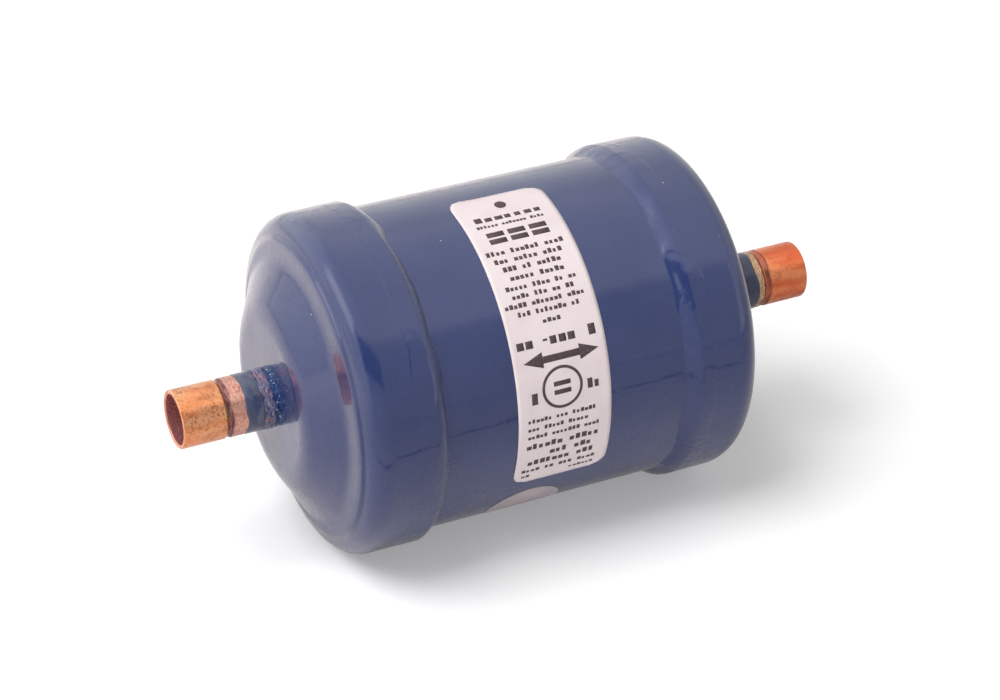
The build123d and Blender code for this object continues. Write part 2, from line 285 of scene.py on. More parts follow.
def gloss_paint(name, deep=NAVY_DEEP, main=NAVY, orange_peel=0.00002, waves=0.00012, swirl=0.0):
    """Gloss navy enamel: slight cloudiness, orange peel, long sags, and small pale specks.

    The swelling pressed round the caps' faces is in its relief; swirl adds the drag marks over a weld.
    """
    paint = Shader(name)
    cloud = paint.noise(0.014, detail=3)
    colour = paint.mix(paint.step(cloud, 0.35, 0.65), deep, main)
    dust = paint.step(paint.noise(0.0022, detail=4, rough=0.7), 0.56, 0.8)
    colour = paint.mix(paint.math("MULTIPLY", dust, 0.4), colour, NAVY_DUSTY)
    large, small = paint.specks(0.0038, 0.10, 0.00020), paint.specks(0.0021, 0.16, 0.00009)
    # small pale specks scattered over the paint
    colour = paint.mix(paint.math("MAXIMUM", large, small), colour, PALE_SPECKS)
    rough = paint.step(paint.noise(0.004, detail=3), 0.3, 0.8, 0.22, 0.34)
    paint.set(Base_Color=colour, Roughness=rough, Specular_Tint=PAINT_GLOSS_TINT)
    paint.set(Coat_Weight=1.0, Coat_Roughness=0.04, Coat_IOR=1.5)
    paint.bump(paint.crease(), CREASE_HEIGHT)
    paint.bump(paint.noise(0.012, detail=2), waves)
    paint.bump(paint.noise(0.0016, detail=2), orange_peel)
    if swirl:
        paint.bump(paint.noise(0.0065, detail=1, distortion=1.4), swirl)
    return paint.material


def bubbled_paint():
    """Thick blistered paint over the brazing, with painted glints and a streaky lilac band outside that
    is a painted reflection.
    """
    paint = Shader("bubbled_paint")
    cloud = paint.noise(0.002, detail=3)
    colour = paint.mix(paint.step(cloud, 0.4, 0.6), *BUBBLE_BLUES)
    streaks = paint.noise(0.0010, detail=3, place=paint.stretched(2.5, 0.6, 0.6))
    uneven = paint.math("SUBTRACT", paint.noise(0.0018, detail=3), 0.5)
    x = paint.math("ADD", paint.along_x(), paint.math("MULTIPLY", uneven, 0.0016))
    band = paint.step(x, BAND_X - 0.0003, BAND_X + 0.0004)
    # painted reflection: pale lilac streaks over the band, with real rubbed copper mixed in below
    pale = paint.mix(paint.step(streaks, 0.35, 0.65), *BAND_REFLECTION_LILACS)
    rubbed = paint.step(paint.noise(0.0030, detail=2), 0.57, 0.70)
    pale = paint.mix(paint.math("MULTIPLY", rubbed, streaks), pale, BAND_RUBBED)
    colour = paint.mix(paint.math("MULTIPLY", band, 0.85), colour, pale)
    glints = paint.specks(0.0006, 0.85, 0.00016)
    glints = paint.math("MULTIPLY", glints, paint.step(band, 0.0, 1.0, 1.0, 0.25))
    colour = paint.mix(glints, colour, BLISTER_GLINT)
    paint.set(Base_Color=colour, Roughness=0.3, Coat_Weight=0.8, Coat_Roughness=0.10)
    blisters = paint.step(paint.cells(0.0008).outputs["Distance"], 0.1, 0.6, 1.0, 0.0)
    paint.bump(blisters, 0.00014)
    return paint.material


def neck_film(name, deep, main, rubbed):
    """Thin paint on the copper neck, rubbed through to reddish copper near the braze ring."""
    paint = Shader(name)
    streaks = paint.noise(0.0012, detail=4, place=paint.stretched(1, 0.5, 0.5))
    colour = paint.mix(paint.step(streaks, 0.35, 0.65), deep, main)
    thick = paint.step(paint.noise(0.0026, detail=3), 0.47, 0.56)
    near_rub = paint.step(paint.along_x(), RUB_X + 0.0022, RUB_X + 0.0004)
    thick = paint.math("MULTIPLY", thick, near_rub)
    colour = paint.mix(paint.math("MULTIPLY", thick, rubbed), colour, NECK_THICK)
    near_ring = paint.step(paint.along_x(), RUB_X + 0.0007, RUB_X - 0.0001)
    patches = paint.step(paint.noise(0.0011, detail=5, rough=0.7), 0.50, 0.72)
    patches = paint.math("MULTIPLY", near_ring, patches)
    colour = paint.mix(paint.math("MULTIPLY", patches, rubbed), colour, NECK_RUBBED)
    paint.set(Base_Color=colour, Roughness=0.34, Coat_Weight=0.7, Coat_Roughness=0.14)
    paint.bump(paint.noise(0.0009, detail=3), 0.00005)
    return paint.material


def copper(name, main, light, dark, tint, collar, grooves, speckle):
    """Copper tube end: drawn metal with brown specks, dark grooves, and a streaked collar behind them.

    Each groove is given by its place, its half width and how dark it is.
    """
    metal = Shader(name)
    along = metal.stretched(0.25, 1, 1)
    colour = metal.mix(metal.step(metal.noise(0.003, detail=3, place=along), 0.35, 0.7), main, light)
    blotch = metal.step(metal.noise(0.0035, detail=4, rough=0.65), 0.50, 0.72)
    colour = metal.mix(metal.math("MULTIPLY", blotch, 0.6), colour, dark)
    specks = metal.step(metal.noise(0.0005, detail=3, rough=0.7), 0.51, 0.62)
    worn = metal.step(metal.noise(0.0045, detail=2), 0.38, 0.62, 0.25 * speckle, 0.95 * speckle)
    specks = metal.math("MULTIPLY", specks, worn)
    colour = metal.mix(specks, colour, dark)
    wobble = metal.math("MULTIPLY", metal.math("SUBTRACT", metal.noise(0.003), 0.5), 0.0010)
    x = metal.math("ADD", metal.along_x(), wobble)
    streaks = metal.noise(0.0009, detail=3, place=metal.stretched(5, 1, 1))
    streaks = metal.step(streaks, 0.35, 0.65)
    film = metal.mix(metal.math("MULTIPLY", specks, 0.8), metal.mix(streaks, *collar), dark)
    colour = metal.mix(metal.step(x, GROOVE_X - 0.0002, GROOVE_X - 0.0007), colour, film)
    ring_marks = metal.noise(0.0010, detail=2, place=metal.stretched(6, 0.6, 0.6))
    ring_marks = metal.step(ring_marks, 0.45, 0.7, 1.0, 0.55)
    for at, half, depth in grooves:
        away = metal.math("ABSOLUTE", metal.math("SUBTRACT", x, at))
        groove = metal.step(away, 0.5 * half, 1.5 * half, depth, 0.0)
        colour = metal.mix(metal.math("MULTIPLY", groove, ring_marks), colour, tint)
    inside = metal.step(metal.from_axis(), *(PORT_R - depth for depth in BORE_EDGE))
    colour = metal.mix(inside, colour, BORE_COPPER)
    metal.set(Base_Color=colour, Metallic=0.82)
    metal.set(Roughness=metal.step(specks, 0.0, 1.0, 0.26, 0.5))
    metal.bump(metal.noise(0.0007, detail=3), 0.00003)
    metal.bump(metal.noise(0.0035, detail=2), 0.00012)
    return metal.material


def paper(name, white, shade):
    """Matt coated paper with faint fibres and a little grime."""
    sheet = Shader(name)
    colour = sheet.mix(sheet.step(sheet.noise(0.006, detail=4), 0.35, 0.75), white, shade)
    grime = sheet.specks(0.0022, 0.06, 0.00012)
    colour = sheet.mix(sheet.math("MULTIPLY", grime, 0.5), colour, GRIME)
    sheet.set(Base_Color=colour, Roughness=0.55)
    sheet.bump(sheet.noise(0.0006, detail=3), 0.00001)
    return sheet.material


def ink():
    """Dark grey print, slightly uneven where the paper shows through."""
    print_ink = Shader("print_ink")
    worn = print_ink.step(print_ink.noise(0.0005, detail=3, rough=0.7), 0.5, 0.8)
    colour = print_ink.mix(print_ink.math("MULTIPLY", worn, 0.5), INK_DARK, INK_WORN)
    print_ink.set(Base_Color=colour, Roughness=0.6)
    return print_ink.material


def plain(name, main, other, size, roughness, metallic=0.0, relief=0.00002, stretch=(1, 1, 1)):
    """A finish for the pieces inside: two tones in a grain, with matching relief."""
    finish = Shader(name)
    grain = finish.noise(size, detail=4, rough=0.6, place=finish.stretched(*stretch))
    finish.set(Base_Color=finish.mix(finish.step(grain, 0.3, 0.7), main, other), Metallic=metallic)
    finish.set(Roughness=finish.step(grain, 0.2, 0.8, roughness - 0.08, roughness + 0.08))
    finish.bump(grain, relief)
    return finish.material


WELD_RELIEF = {"orange_peel": 0.00003, "waves": 0.00020}
MATERIALS = {
    "shell_paint": gloss_paint("shell_paint"),
    "weld_paint": gloss_paint("weld_paint", **WELD_RELIEF, swirl=0.00012),
    "braze_paint": bubbled_paint(),
    "left_copper": copper(
        "left_copper", main=(0.95, 0.345, 0.145), light=(0.98, 0.51, 0.27), dark=(0.42, 0.13, 0.075),
        tint=(0.15, 0.065, 0.075), collar=((0.70, 0.28, 0.21), (0.90, 0.54, 0.44)),
        grooves=((GROOVE_X - 0.0003, 0.00045, 1.0),), speckle=1.0),
    "right_copper": copper(
        "right_copper", main=(0.80, 0.165, 0.062), light=(0.94, 0.32, 0.14), dark=(0.46, 0.08, 0.050),
        tint=(0.17, 0.065, 0.07), collar=((0.42, 0.25, 0.14), (0.72, 0.50, 0.32)),
        grooves=((GROOVE_X - 0.0005, 0.00018, 0.9), (GROOVE_X + 0.0008, 0.00022, 0.8),
                 (GROOVE_X + 0.0001, 0.00050, 0.5)), speckle=0.4),
    "label_paper": paper("label_paper", (0.78, 0.675, 0.685), (0.72, 0.61, 0.63)),
    "sticker_paper": paper("sticker_paper", (0.46, 0.395, 0.42), (0.40, 0.34, 0.36)),
    "desiccant": plain("desiccant", (0.62, 0.52, 0.38), (0.76, 0.68, 0.54), 0.0008, 0.85,
                       relief=0.0002),
    "filter_felt": plain("filter_felt", (0.62, 0.60, 0.52), (0.80, 0.78, 0.72), 0.0004, 0.9,
                         relief=0.0001, stretch=(0.2, 1, 1)),
    "plated_steel": plain("plated_steel", (0.52, 0.50, 0.40), (0.66, 0.64, 0.56), 0.004, 0.35,
                          metallic=1.0),
    "seat_brass": plain("seat_brass", (0.62, 0.44, 0.16), (0.74, 0.56, 0.25), 0.0005, 0.28,
                        metallic=1.0, stretch=(6, 1, 1)),
    "valve_nylon": plain("valve_nylon", (0.70, 0.66, 0.55), (0.78, 0.75, 0.66), 0.003, 0.45),
    "spring_steel": plain("spring_steel", (0.34, 0.34, 0.36), (0.46, 0.46, 0.48), 0.001, 0.32,
                          metallic=1.0),
    "gasket_rubber": plain("gasket_rubber", (0.02, 0.02, 0.02), (0.04, 0.04, 0.04), 0.0015, 0.7),
}
INK = ink()
WELD_PAINT = {"left": MATERIALS["weld_paint"],
              "right": gloss_paint("right_weld_paint", **WELD_RELIEF, swirl=0.00020)}
NECK_FILM = {
    # one paint in two tones: the left film's lighter grey-blue is a painted reflection, the right film is
    # darker
    "left": neck_film("left_neck_film_painted_reflection", (0.040, 0.050, 0.100), (0.080, 0.090, 0.150), 0.9),
    "right": neck_film("right_neck_film", (0.007, 0.014, 0.050), (0.014, 0.024, 0.075), 0.0),
}


def dress_cad_nodes():
    """Every CAD node that stays gets the material of its slot in the record."""
    for row in frame["record"]["subparts"]:
        node = frame["nodes"][row["node"]]
        node.data.materials.clear()
        node.data.materials.append(MATERIALS[row["material_slot"]])
        node.data.shade_smooth()


# ================================================================ welds, brazing and paint at the ports
WELD_LAP = 0.0027                 # how far the bead and its paint run over the skirt
WELD_LAP_EDGE = 9                 # the higher, the steeper the edge of that lap
WELD_FULLNESS = {"left": 2.9, "right": 1.6}
WELD_EASE = {"left": 0.05, "right": 0.16}   # share of the bead over which its toe starts gently
WELD_CREST = 0.00005              # bead's height over the skirt
SINK = 0.00003                    # how deep a piece's underside lies inside what it is on
WELD_SIDES = 420
WELD_STEPS = 26
WELD_LAP_STEPS = 14
POOL_HEIGHT, POOL_SIZE, POOL_STRETCH = 0.00017, 0.0062, 2.2
RIPPLE_HEIGHT, RIPPLE_SIZE = 0.00004, 0.0021
TOE_DRIFT, TOE_DRIFT_SIZE = 0.0007, 0.007
LAP_DRIFT, LAP_DRIFT_SIZE = 0.0007, 0.005


def girth_weld(side, sign):
    """Painted lap weld: an uneven toe on the tube, long soft pools, and a lap over the skirt."""
    crest = CAP_R + WELD_CREST
    ease = WELD_EASE[side]
    line = []
    for k in range(WELD_STEPS + 1):
        t = k / WELD_STEPS
        eased = t * t / (t + ease) * (1 + ease)
        full = 1 - (1 - eased) ** WELD_FULLNESS[side]
        line.append((WELD_TOE_X + (SKIRT_X - WELD_TOE_X) * t, TUBE_R + (crest - TUBE_R) * full))
    for k in range(1, WELD_LAP_STEPS + 1):
        t = k / WELD_LAP_STEPS
        line.append((SKIRT_X + t * WELD_LAP, crest - (WELD_CREST + SINK) * t ** WELD_LAP_EDGE))
    outer = len(line)
    line.append((SKIRT_X, CAP_R - 2 * SINK))
    line.append((SKIRT_X, TUBE_R - SINK))
    line.append((WELD_TOE_X, TUBE_R - SINK))

    def relief(i, x, r, angle):
        here = on_axis(x, r, angle)
        if i >= outer:
            return sign * x, r
        t = i / (outer - 1)
        swell = math.sin(math.pi * t) ** 0.8 if 0 < i < outer - 1 else 0
        pools = POOL_HEIGHT * perlin(on_axis(POOL_STRETCH * x, r, angle), POOL_SIZE, 2 + sign)
        ripples = RIPPLE_HEIGHT * perlin(here, RIPPLE_SIZE, 5 + sign)
        around = on_axis(0, r, angle)
        drift = TOE_DRIFT * (1 - t) ** 2 * perlin(around, TOE_DRIFT_SIZE, 9 + sign)
        lap = LAP_DRIFT * t ** 3 * perlin(around, LAP_DRIFT_SIZE, 13 + sign)
        return sign * (x + drift + lap), min(crest, r + (pools + ripples) * swell)
    weld = lathe(f"{side}_weld_bead", line, WELD_SIDES, WELD_PAINT[side], relief)
    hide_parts(f"{side}_girth_weld")


BRAZE_FOOT = 0.00006              # fillet's reach over the hub's flat
BRAZE_RING_END = 0.0034           # end of the pale band, from the hub's flat
BRAZE_THICK = 0.00014             # thickness of paint and alloy over the neck
BRAZE_BULGE = 0.00002
PAINT_FILM = 0.00007
FOOT_STEPS = 10
RING_STEPS = 14
FILM_STEPS = 14
FILM_OVERLAP = 0.0003             # how far the film starts under the ring's end
PAINT_EDGE = {"left": 0.0530, "right": 0.05455}   # end of the paint on the copper, from mid-length
NECK_SIDES = 160


def braze_ring(side, sign):
    """Brazing at the port's root: a small hollow fillet that runs into a ring of thick paint."""
    line = []
    for k in range(FOOT_STEPS + 1):
        turn = math.radians(90 * k / FOOT_STEPS)
        x = HUB_X + BRAZE_FOOT * (1 - math.cos(turn))
        r = PORT_R + BRAZE_THICK + BRAZE_FOOT * (1 - math.sin(turn))
        line.append((x, r))
    for k in range(1, RING_STEPS + 1):
        t = k / RING_STEPS
        thick = BRAZE_THICK * (1 - t ** 4) + BRAZE_BULGE * (1 - math.cos(2 * math.pi * t))
        line.append((HUB_X + BRAZE_FOOT + (BRAZE_RING_END - BRAZE_FOOT) * t,
                     PORT_R + thick + PAINT_FILM * t ** 4))
    outer = len(line)
    line.append((HUB_X + BRAZE_RING_END, PORT_R - SINK))
    line.append((HUB_X - SINK, PORT_R - SINK))
    line.append((HUB_X - SINK, PORT_R + BRAZE_FOOT + BRAZE_THICK))

    def relief(i, x, r, angle):
        if i >= outer:
            return sign * x, r
        here = on_axis(x, r, angle)
        lumps = 0.00006 * perlin(here, 0.0022, 21 + sign) + 0.00003 * perlin(here, 0.0009, 27 + sign)
        edge = 0.00025 * (i / outer) ** 2 * perlin(on_axis(0, r, angle), 0.004, 31 + sign)
        return sign * (x + edge), r + lumps * (1 - (i / outer) ** 6)
    ring = lathe(f"{side}_braze_ring", line, NECK_SIDES, MATERIALS["braze_paint"], relief)
    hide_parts(f"{side}_braze_fillet")


def neck_paint(side, sign):
    """Paint film on the copper between the braze ring and its ragged masked edge."""
    start_x = HUB_X + BRAZE_RING_END - FILM_OVERLAP
    edge_x = PAINT_EDGE[side]
    line = []
    for k in range(FILM_STEPS + 1):
        t = k / FILM_STEPS
        film = PAINT_FILM * (1.4 - 0.4 * t) if k < FILM_STEPS else -SINK
        line.append((start_x + (edge_x - start_x) * min(1, t * 1.02), PORT_R + film))
    line.append((start_x, PORT_R - SINK))

    def relief(i, x, r, angle):
        here = on_axis(x, r, angle)
        reach = (x - start_x) / (edge_x - start_x)
        around = on_axis(0, PORT_R, angle)
        rag = 0.00045 * perlin(around, 0.0035, 41 + sign) + 0.00012 * perlin(around, 0.0009, 45 + sign)
        lumps = 0.00004 * perlin(here, 0.0022, 51 + sign) if i < FILM_STEPS else 0
        return sign * (x + rag * reach ** 3), r + lumps
    lathe(f"{side}_neck_paint", line, NECK_SIDES, NECK_FILM[side], relief)


# ================================================================ label and its print
LABEL_STEP = 0.0007               # size of the paper's faces
LABEL_ROUND = 0.0028              # radius of its corners
LABEL_THICK = 0.00012
LABEL_LEAN = 0.0004               # how far its top is set over towards +X against its foot
EDGE_LIFT, EDGE_REACH, EDGE_SIZE = 0.00006, 0.0012, 0.006
CURL_HEIGHT = 0.0004              # of the upper left corner
CURL_REACH = 0.0055
CURL_ACROSS, CURL_ALONG = 0.0012, 0.0002    # middle of the curl, from that corner
PRINT_THICK = 0.00002
LABEL_START = math.degrees(math.acos(LABEL_HIGH.y / LABEL_R))
LABEL_END = 180 + math.degrees(math.asin(-LABEL_LOW.z / LABEL_R))
LABEL_LENGTH = math.radians(LABEL_END - LABEL_START) * LABEL_R
LABEL_MID_X = (LABEL_LOW.x + LABEL_HIGH.x) / 2
LABEL_HALF = (LABEL_HIGH.x - LABEL_LOW.x) / 2


def label_point(x, along, height=0.0):
    """A point of the leaning label: along is the distance down it from its top edge."""
    lean = LABEL_LEAN * (0.5 - along / LABEL_LENGTH)
    return on_axis(x + lean, LABEL_R + height, LABEL_START + math.degrees(along / LABEL_R))


def label_lift(across, along):
    """How far the paper stands off the paint: its edges a little, and the curled corner more."""
    edge = min(along, LABEL_LENGTH - along, LABEL_HALF - abs(across))
    uneven = max(0, perlin(label_point(across, along), EDGE_SIZE, 61))
    lift = EDGE_LIFT * max(0, 1 - edge / EDGE_REACH) * uneven
    from_corner = math.hypot(across + LABEL_HALF - CURL_ACROSS, along - CURL_ALONG) / CURL_REACH
    return lift + CURL_HEIGHT * max(0, 1 - from_corner) ** 2


def paper_label():
    """The paper strip wrapped round the tube, with rounded corners and edges that lift a little."""
    rows = int(LABEL_LENGTH / LABEL_STEP)
    columns = int(2 * LABEL_HALF / LABEL_STEP)
    top = []
    for i in range(rows + 1):
        along = LABEL_LENGTH * i / rows
        from_end = min(along, LABEL_LENGTH - along)
        half = LABEL_HALF
        if from_end < LABEL_ROUND:
            inward = LABEL_ROUND - from_end
            half -= LABEL_ROUND - math.sqrt(max(0, LABEL_ROUND ** 2 - inward ** 2))
        for j in range(columns + 1):
            across = (2 * j / columns - 1) * half
            top.append(label_point(LABEL_MID_X + across, along, label_lift(across, along)))
    bottom = [tuple(Vector(p) - Vector((0, p[1], p[2])).normalized() * LABEL_THICK) for p in top]
    faces = grid_faces(rows + 1, columns + 1)
    faces += grid_faces(rows + 1, columns + 1, start=len(top))
    rim = list(range(columns + 1))
    rim += [i * (columns + 1) + columns for i in range(1, rows + 1)]
    rim += [rows * (columns + 1) + j for j in range(columns - 1, -1, -1)]
    rim += [i * (columns + 1) for i in range(rows - 1, 0, -1)]
    for a, b in zip(rim, rim[1:] + rim[:1]):
        faces.append((a, b, b + len(top), a + len(top)))
    sheet = add_piece("paper_label", top + bottom, faces, "shell",
                      MATERIALS["label_paper"])
    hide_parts("label")


DISC_SIDES = 48
DICE = random.Random(83)
WORD_LENGTHS = (2, 3, 4, 5, 6, 7)
SMALL_SHARE, SMALL_HEIGHT = 0.6, 0.72        # of the letters, and their height against a capital's
LETTER_WIDTHS = (0.60, 0.72, 0.80)           # of the room a letter has
LETTER_INSET = 0.10
BLOCK_WIDTH, BLOCK_HALF, BLOCK_SHIFT = 0.8, 0.42, 0.29


class Print:
    """Generic printed shapes on the label, as thin raised ink."""

    def __init__(self):
        self.points = []
        self.faces = []

    def patch(self, rows, columns, place, wrap=False):
        """A raised patch whose point (i, j) is at place(i, j) = (x, along)."""
        start = len(self.points)
        for height in (PRINT_THICK, -PRINT_THICK):
            for i in range(rows):
                for j in range(columns):
                    x, along = place(i, j)
                    lift = label_lift(x - LABEL_MID_X, along)
                    self.points.append(label_point(x, along, height + lift))
        size = rows * columns
        self.faces += grid_faces(rows, columns, start, wrap_rows=wrap)
        self.faces += grid_faces(rows, columns, start + size, wrap_rows=wrap)
        if wrap:
            rims = [[i * columns + j for i in range(rows)] for j in (0, columns - 1)]
        else:
            rim = list(range(columns)) + [i * columns + columns - 1 for i in range(1, rows)]
            rim += [(rows - 1) * columns + j for j in range(columns - 2, -1, -1)]
            rim += [i * columns for i in range(rows - 2, 0, -1)]
            rims = [rim]
        for rim in rims:
            for a, b in zip(rim, rim[1:] + rim[:1]):
                self.faces.append((start + a, start + b, start + size + b, start + size + a))

    def band(self, x0, x1, along, half, steps=2):
        """A bar from x0 to x1 whose half height at a share of its length is half(share)."""
        def place(i, j):
            share = i / steps
            return x0 + (x1 - x0) * share, along + half(share) * (j / 2 - 1)
        self.patch(steps + 1, 5, place)        # five points across

    def bar(self, x0, x1, along, height):
        """A plain bar from x0 to x1, height tall."""
        self.band(x0, x1, along, lambda share: height / 2)

    def disc(self, x, along, radius, inner=0.0):
        """A disc, or a ring that starts at the inner radius."""
        def place(i, j):
            turn = 2 * math.pi * i / DISC_SIDES
            r = inner + (radius - inner) * j / 2
            return x + r * math.cos(turn), along + r * math.sin(turn)
        self.patch(DISC_SIDES, 3, place, wrap=True)

    def words(self, x0, x1, along, height, letter):
        """A line of print from x0 to x1: words as rows of small blocks, one to a letter."""
        count = int((x1 - x0) / letter)
        left = DICE.choice(WORD_LENGTHS[1:])
        for k in range(count):
            if left == 0 and k < count - 2:
                left = DICE.choice(WORD_LENGTHS)
                continue
            left = max(0, left - 1)
            small = DICE.random() < SMALL_SHARE
            tall = height * (SMALL_HEIGHT if small else 1.0)
            wide = letter * DICE.choice(LETTER_WIDTHS)
            start = x0 + (k + LETTER_INSET) * letter
            self.bar(start, start + wide, along + (height - tall) / 2, tall)

    def blocks(self, x0, letter, count, along, height):
        """Heading characters as blocks, each with a light slot across it."""
        for k in range(count):
            start = x0 + k * letter
            for shift in (-BLOCK_SHIFT, BLOCK_SHIFT):
                self.bar(start, start + BLOCK_WIDTH * letter, along + shift * height, BLOCK_HALF * height)


# The print's rows, each at its angle about X. Places across are from mid-width, in metres.
# words: angle, left end, right end, height of a capital, room for a letter
WORD_ROWS = (
    (101.2, -0.0070, 0.0070, 0.0014, 0.0020),
    (104.7, -0.0072, 0.0072, 0.0007, 0.00072),
    (116.7, -0.0082, 0.0082, 0.0010, 0.00098),
    (120.1, -0.0073, 0.0073, 0.0010, 0.00098),
    (123.5, -0.0063, 0.0063, 0.0010, 0.00098),
    (127.0, -0.0056, 0.0056, 0.0010, 0.0010),
    (130.6, -0.0072, 0.0072, 0.0009, 0.00090),
    (133.7, -0.0065, 0.0065, 0.0009, 0.00090),
    (136.8, -0.0085, 0.0085, 0.0009, 0.00090),
    (139.9, -0.0064, 0.0064, 0.0009, 0.00090),
    (143.6, -0.0020, 0.0020, 0.0008, 0.00095),
    (149.9, -0.0083, -0.0030, 0.0020, 0.0018),
    (149.9, -0.0016, 0.0048, 0.0020, 0.0018),
    (168.0, 0.0046, 0.0074, 0.0019, 0.0014),
    (177.0, -0.0076, 0.0070, 0.0008, 0.00082),
    (180.2, -0.0076, 0.0048, 0.0008, 0.00082),
    (183.4, -0.0076, 0.0074, 0.0008, 0.00082),
    (187.4, -0.0078, 0.0076, 0.0012, 0.00125),
    (191.2, -0.0029, 0.0068, 0.0012, 0.00125),
    (194.9, -0.0072, 0.0071, 0.0012, 0.00125),
    (198.7, -0.0081, 0.0080, 0.0008, 0.00095),
    (201.9, 0.0019, 0.0072, 0.0006, 0.00085),
    (201.6, -0.0079, -0.0060, 0.0007, 0.0009),
)
# bars: angle, left end, right end, height
BARS = (
    (149.9, -0.0028, -0.0019, 0.0004),
    (149.9, 0.0064, 0.0078, 0.0020),
    (165.5, -0.0020, 0.0014, 0.0009),
    (168.5, -0.0020, 0.0014, 0.0009),
    (169.1, -0.0066, -0.0054, 0.0022),
)
DOT_ANGLE, DOT_R = 95, 0.0011
BLOCKS_ANGLE, BLOCKS_LEFT, BLOCK_ROOM, BLOCK_COUNT, BLOCK_HEIGHT = 110.4, -0.0062, 0.0043, 3, 0.0028
ARROW_ANGLE, ARROW_MID, ARROW_HALF = 156.4, 0.0002, 0.0076
ARROW_HEAD, HEAD_HALF, SHAFT_HALF = 0.0039, 0.0015, 0.00065
RING_ANGLE, RING_MID, RING_R, RING_INNER = 167.0, -0.0003, 0.0041, 0.00355


def label_print():
    """Dot, heading, lines of words, two-headed arrow, ring and bars, all as plain shapes."""
    art = Print()
    mid = LABEL_MID_X

    def at(angle):
        return math.radians(angle - LABEL_START) * LABEL_R

    art.disc(mid, at(DOT_ANGLE), DOT_R)
    art.blocks(mid + BLOCKS_LEFT, BLOCK_ROOM, BLOCK_COUNT, at(BLOCKS_ANGLE), BLOCK_HEIGHT)
    for angle, left, right, height, letter in WORD_ROWS:
        art.words(mid + left, mid + right, at(angle), height, letter)
    for angle, left, right, height in BARS:
        art.bar(mid + left, mid + right, at(angle), height)
    arrow(art, mid + ARROW_MID, at(ARROW_ANGLE))
    art.disc(mid + RING_MID, at(RING_ANGLE), RING_R, RING_INNER)
    add_piece("label_print", art.points, art.faces, "shell", INK)


def arrow(art, x, along):
    """A plain two-headed arrow along the axis: the drier takes flow either way."""
    low, high = x - ARROW_HALF, x + ARROW_HALF
    art.band(low, low + ARROW_HEAD, along, lambda share: HEAD_HALF * share, 6)
    art.band(low + ARROW_HEAD, high - ARROW_HEAD, along, lambda share: SHAFT_HALF, 4)
    art.band(high - ARROW_HEAD, high, along, lambda share: HEAD_HALF * (1 - share), 6)


# ================================================================ studio
WHITE = (1, 1, 1)
BLACK = (0, 0, 0)
ROOM_GLOW = 0.35                             # strength of the world on the part
FLOOR_HALF = 1.6
FLOOR_SHADE = (0.82, 0.82, 0.82)
FLOOR_MIRRORED = ((0.36, 0.345, 0.35), (0.84, 0.78, 0.77))   # ahead and behind, in the reflections
FLOOR_BACKWARDS = (-0.45, 0.9, 0)            # direction from the one to the other
FLOOR_TURN = (-0.15, 0.20)                   # where along it the floor changes
FLOOR_GLOW = 0.14                            # added to the floor in the reflections
FLOOR_LIFT = (0.26, 1.0)                     # added for the camera, near the part and far from it
FLOOR_FAR = (0.22, 0.65)                     # distances between which that grows
SEAM_START, SEAM_END = (-0.12, -0.067), (0.30, -0.193)
SEAM_HALF_START, SEAM_HALF_END = 0.0014, 0.0046
SEAM_RISE = 0.0003
# lamps: name, place, size, watts
LAMPS = (
    ("key", (-0.62, -0.06, 1.08), (0.9, 0.9), 16.5),
    ("fill", (-0.5, -1.2, 0.10), (0.8, 0.4), 3.5),
)
# cards: name, azimuth, elevation, distance, half angles, strength, widths of the soft edges
CARDS = (
    ("room_back", 112, 25, 1.00, (60, 30), 0.78, (0.5, 0.2, 0.2)),
    ("room_right", 98, 1, 0.95, (44, 17), 0.50, (0.35, 0.05, 0.15)),
    ("room_left", -128, 33, 1.00, (42, 32), 1.25, (0.35, 0.25, 0.25)),
    ("room_front", -8, 27, 0.90, (50, 30), 0.52, (0.30, 0.08, 0.20)),
    ("window", -98, 41, 0.85, (22, 13), 2.3, (0.12, 0.08, 0.08)),
    ("operator", -27, 37, 0.70, (33, 14), 0.10, (0.08, 0.03, 0.08)),
)


def facing(azimuth, elevation):
    """Unit vectors to the right, up and back of what looks at the part from an azimuth and elevation."""
    back = Vector((math.sin(azimuth) * math.cos(elevation), -math.cos(azimuth) * math.cos(elevation),
                   math.sin(elevation)))
    right = Vector((0, 0, 1)).cross(back).normalized()
    return right, back.cross(right), back


def flat(name, corners):
    """A piece of the studio with one face, not yet dressed."""
    mesh = bpy.data.meshes.new(name)
    mesh.from_pydata([tuple(corner) for corner in corners], [], [(0, 1, 2, 3)])
    piece = bpy.data.objects.new(name, mesh)
    bpy.context.scene.collection.objects.link(piece)
    return piece


def only_reflected(piece):
    """Keeps a piece out of everything but reflections."""
    for kind in ("camera", "diffuse", "shadow", "transmission", "volume_scatter"):
        setattr(piece, "visible_" + kind, False)


def emission(tree, colour, strength):
    node = tree.nodes.new("ShaderNodeEmission")
    node.inputs["Color"].default_value = (*colour, 1)
    node.inputs["Strength"].default_value = strength
    return node.outputs[0]


def backdrop():
    """A soft even world on the part, and white for the camera, reflections and transmission."""
    world = bpy.data.worlds.new("studio")
    bpy.context.scene.world = world
    world.use_nodes = True
    tree = world.node_tree
    tree.nodes.clear()
    paths = tree.nodes.new("ShaderNodeLightPath")
    seen = paths.outputs["Is Camera Ray"]
    for kind in ("Is Glossy Ray", "Is Transmission Ray"):
        either = tree.nodes.new("ShaderNodeMath")
        either.operation = "MAXIMUM"
        tree.links.new(seen, either.inputs[0])
        tree.links.new(paths.outputs[kind], either.inputs[1])
        seen = either.outputs[0]
    pick = tree.nodes.new("ShaderNodeMixShader")
    tree.links.new(seen, pick.inputs[0])
    for place, strength in ((1, ROOM_GLOW), (2, 1.0)):
        light = tree.nodes.new("ShaderNodeBackground")
        light.inputs["Color"].default_value = (*WHITE, 1)
        light.inputs["Strength"].default_value = strength
        tree.links.new(light.outputs[0], pick.inputs[place])
    output = tree.nodes.new("ShaderNodeOutputWorld")
    tree.links.new(pick.outputs[0], output.inputs["Surface"])


